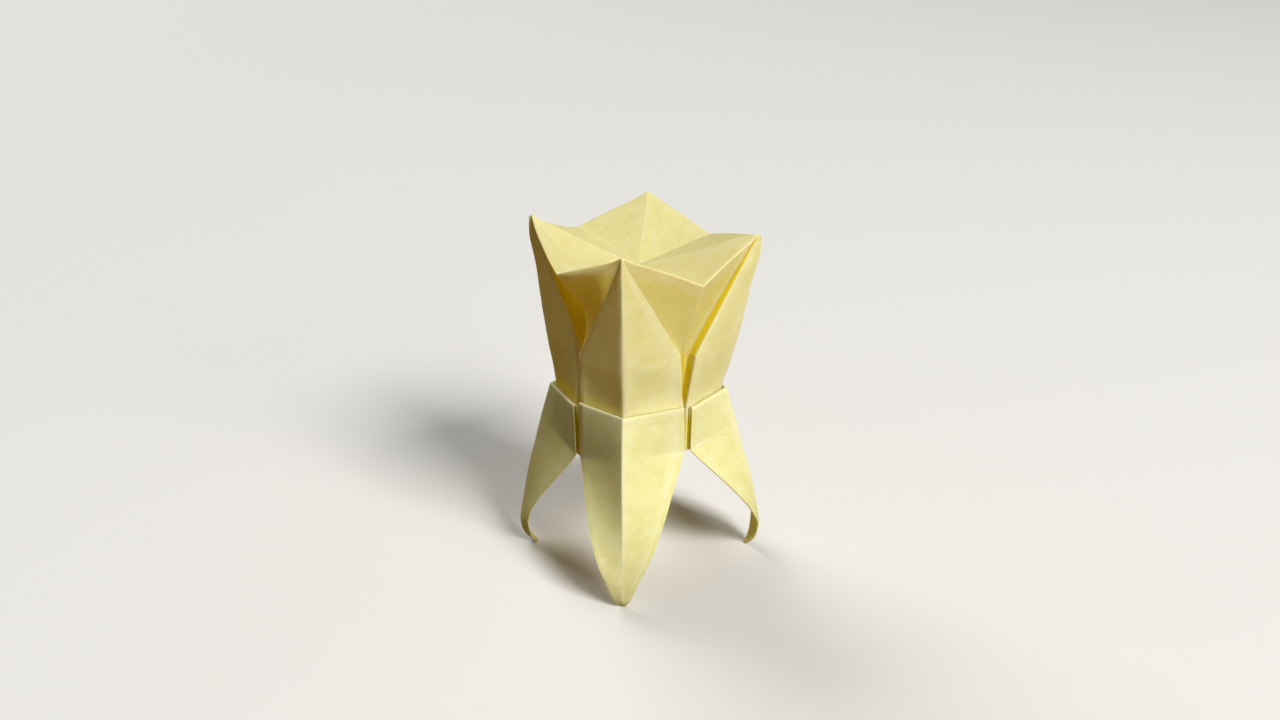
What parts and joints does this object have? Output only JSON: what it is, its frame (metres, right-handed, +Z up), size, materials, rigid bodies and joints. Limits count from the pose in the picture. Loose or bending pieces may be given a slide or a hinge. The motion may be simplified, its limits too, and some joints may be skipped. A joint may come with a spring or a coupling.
{
  "type": "origami tooth",
  "caption": "Folded paper model of a molar that stands on its curled roots, with a cusped crown round a sunken star and a pleated waist.",
  "frame": {"origin": "bottom centre of the bounding box, on the plane that the root tips stand on", "axes": "+Z up from the roots to the crown, -Y towards the petal that faces the viewer, +X to the viewer's right"},
  "size_m": [0.0624, 0.0624, 0.0888],
  "materials": {
    "folded_sheet": "matte, butter-yellow dyed copy paper"
  },
  "bodies": {
    "root": {"folded_sheet": "folded_sheet"}
  },
  "joints": []
}
